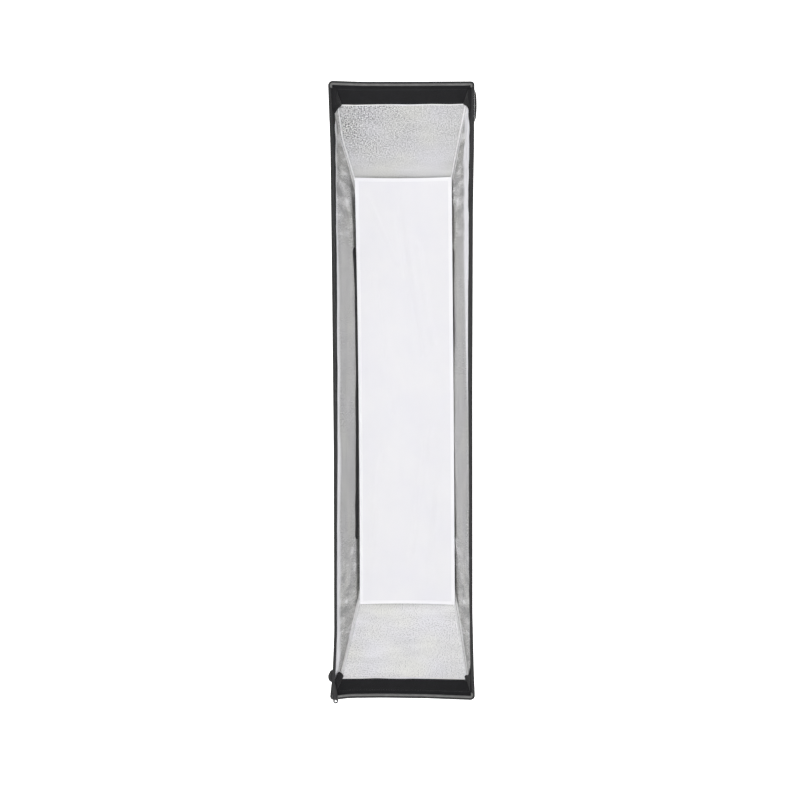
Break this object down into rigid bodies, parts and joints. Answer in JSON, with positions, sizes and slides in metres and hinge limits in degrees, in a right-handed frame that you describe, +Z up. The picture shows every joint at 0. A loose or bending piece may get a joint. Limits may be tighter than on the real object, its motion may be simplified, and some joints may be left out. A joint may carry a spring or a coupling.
{
  "type": "strip softbox",
  "caption": "Tall narrow fabric light box with a silver lining and a white inner baffle on a quick-fold rod frame, with a rotating speedring and bayonet adapter.",
  "frame": {"origin": "centre of the bayonet adapter's rear seating face, on the lamp axis", "axes": "+Z up along the long side of the box, -Y out of the open front, +Y towards the lamp head, +X to the right seen from the front"},
  "size_m": [0.3628, 0.4755, 1.5413],
  "materials": {
    "adapter_metal": "satin anodised",
    "ring_metal": "black powder-coated casting",
    "zinc_steel": "zinc plated",
    "rod_steel": "bright drawn spring steel",
    "black_plastic": "moulded, fine grain",
    "silver_lining": "pebbled silver inside, black nylon outside",
    "loop_tape": "brushed loop pile",
    "edge_binding": "woven grosgrain binding",
    "black_nylon": "plain-weave nylon",
    "white_diffusion": "thin translucent white nylon"
  },
  "bodies": {
    "adapter": {"bayonet_adapter": "adapter_metal", "retaining_ring": "adapter_metal", "retaining_screw_1": "zinc_steel", "retaining_screw_2": "zinc_steel", "retaining_screw_3": "zinc_steel", "retaining_screw_4": "zinc_steel"},
    "speedring": {"speedring_body": "ring_metal", "rear_collar": "black_nylon", "rod_bracket_top_left": "zinc_steel", "rod_bracket_top_right": "zinc_steel", "rod_bracket_bottom_left": "zinc_steel", "rod_bracket_bottom_right": "zinc_steel", "hinge_pin_top_left": "zinc_steel", "hinge_pin_top_right": "zinc_steel", "hinge_pin_bottom_left": "zinc_steel", "hinge_pin_bottom_right": "zinc_steel", "wall_left": "silver_lining", "wall_right": "silver_lining", "lip_left": "loop_tape", "lip_right": "loop_tape", "rim_left": "edge_binding", "rim_right": "edge_binding", "hook_tape_left": "loop_tape", "hook_tape_right": "loop_tape", "inner_baffle": "white_diffusion", "baffle_strap_top_left": "black_nylon", "baffle_strap_top_right": "black_nylon", "baffle_strap_bottom_left": "black_nylon", "baffle_strap_bottom_right": "black_nylon"},
    "rod_top_left": {"rod_socket_top_left": "black_plastic", "rod_top_left": "rod_steel", "rod_tip_top_left": "black_plastic", "corner_pocket_top_left": "black_nylon", "wall_top": "silver_lining", "lip_top": "loop_tape", "rim_top": "edge_binding"},
    "rod_top_right": {"rod_socket_top_right": "black_plastic", "rod_top_right": "rod_steel", "rod_tip_top_right": "black_plastic", "corner_pocket_top_right": "black_nylon", "flap_top_right": "black_nylon"},
    "rod_bottom_left": {"rod_socket_bottom_left": "black_plastic", "rod_bottom_left": "rod_steel", "rod_tip_bottom_left": "black_plastic", "corner_pocket_bottom_left": "black_nylon", "wall_bottom": "silver_lining", "lip_bottom": "loop_tape", "rim_bottom": "edge_binding", "flap_bottom_left": "black_nylon", "hanging_loop": "black_nylon", "loop_eyelet": "zinc_steel"},
    "rod_bottom_right": {"rod_socket_bottom_right": "black_plastic", "rod_bottom_right": "rod_steel", "rod_tip_bottom_right": "black_plastic", "corner_pocket_bottom_right": "black_nylon"},
    "lock_pad": {"lock_pad": "black_plastic"},
    "lock_knob": {"lock_knob": "black_plastic", "lock_screw": "zinc_steel"}
  },
  "joints": [
    {"name": "ring_rotation", "type": "hinge", "parent": "adapter", "child": "speedring", "pos_m": [0, -0.016, 0], "axis": [0, 1, 0], "continuous": true},
    {"name": "fold_top_left", "type": "hinge", "parent": "speedring", "child": "rod_top_left", "pos_m": [-0.048, -0.0345, 0.066], "axis": [1, 0, 0], "range_deg": [0, 52], "deforming": ["wall_left", "wall_right", "lip_left", "lip_right", "rim_left", "rim_right", "hook_tape_left", "hook_tape_right", "inner_baffle", "baffle_strap_top_left", "baffle_strap_top_right", "baffle_strap_bottom_left", "baffle_strap_bottom_right"]},
    {"name": "fold_top_right", "type": "hinge", "parent": "speedring", "child": "rod_top_right", "pos_m": [0.048, -0.0345, 0.066], "axis": [1, 0, 0], "range_deg": [0, 52]},
    {"name": "fold_bottom_left", "type": "hinge", "parent": "speedring", "child": "rod_bottom_left", "pos_m": [-0.048, -0.0345, -0.066], "axis": [-1, 0, 0], "range_deg": [0, 52]},
    {"name": "fold_bottom_right", "type": "hinge", "parent": "speedring", "child": "rod_bottom_right", "pos_m": [0.048, -0.0345, -0.066], "axis": [-1, 0, 0], "range_deg": [0, 52]},
    {"name": "lock_pad_travel", "type": "slide", "parent": "speedring", "child": "lock_pad", "axis": [1, 0, 0], "range_m": [0, 0.0015]},
    {"name": "lock_knob_turn", "type": "hinge", "parent": "lock_pad", "child": "lock_knob", "pos_m": [0.1, -0.015, 0], "axis": [1, 0, 0], "range_deg": [0, 540.01]}
  ],
  "couplings": [
    {"joint": "fold_top_right", "follows": "fold_top_left", "ratio": 1},
    {"joint": "fold_bottom_left", "follows": "fold_top_left", "ratio": 1},
    {"joint": "fold_bottom_right", "follows": "fold_top_left", "ratio": 1},
    {"joint": "lock_knob_turn", "follows": "lock_pad_travel", "rad_per_m": 6283.2}
  ]
}
